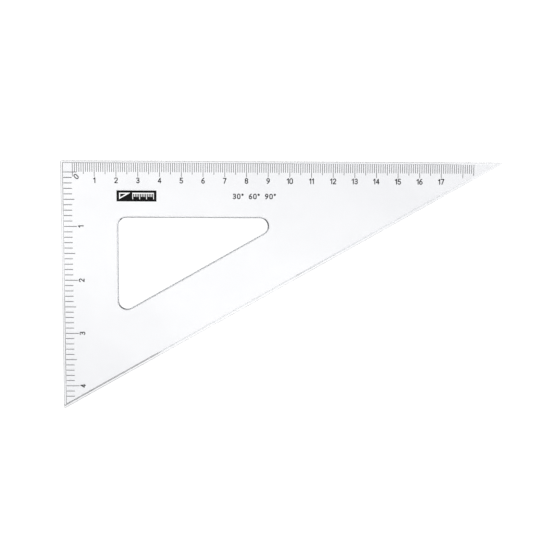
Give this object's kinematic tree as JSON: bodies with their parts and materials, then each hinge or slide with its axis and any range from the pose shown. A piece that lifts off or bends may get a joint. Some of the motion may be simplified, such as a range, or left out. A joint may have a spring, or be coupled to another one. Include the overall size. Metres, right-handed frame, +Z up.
{
  "type": "set square",
  "caption": "Clear flat 30/60/90 degree set square with a triangular window, a centimetre scale on the long leg and an inch scale on the short leg.",
  "frame": {"origin": "middle of the underside's box, close to the middle of the sloping edge", "axes": "+X along the long leg from the right angle to the 30 degree tip, +Y from the sloping edge to the long leg, +Z up out of the printed face"},
  "size_m": [0.2034, 0.1176, 0.0021],
  "materials": {
    "clear_plastic": "clear polished polystyrene",
    "scale_ink": "thin dark grey screen print",
    "numeral_ink": "black screen print",
    "label_black": "dense black screen print",
    "label_white": "white screen print",
    "grey_ink": "thin grey screen print"
  },
  "bodies": {
    "root": {"clear_plate": "clear_plastic", "centimetre_lines": "scale_ink", "half_centimetre_lines": "scale_ink", "millimetre_lines": "scale_ink", "centimetre_numerals": "numeral_ink", "inch_lines": "scale_ink", "half_inch_lines": "scale_ink", "tenth_inch_lines": "scale_ink", "inch_numerals": "numeral_ink", "corner_zero": "numeral_ink", "label_panel": "label_black", "label_symbol": "label_white", "angle_lettering": "grey_ink"}
  },
  "joints": []
}
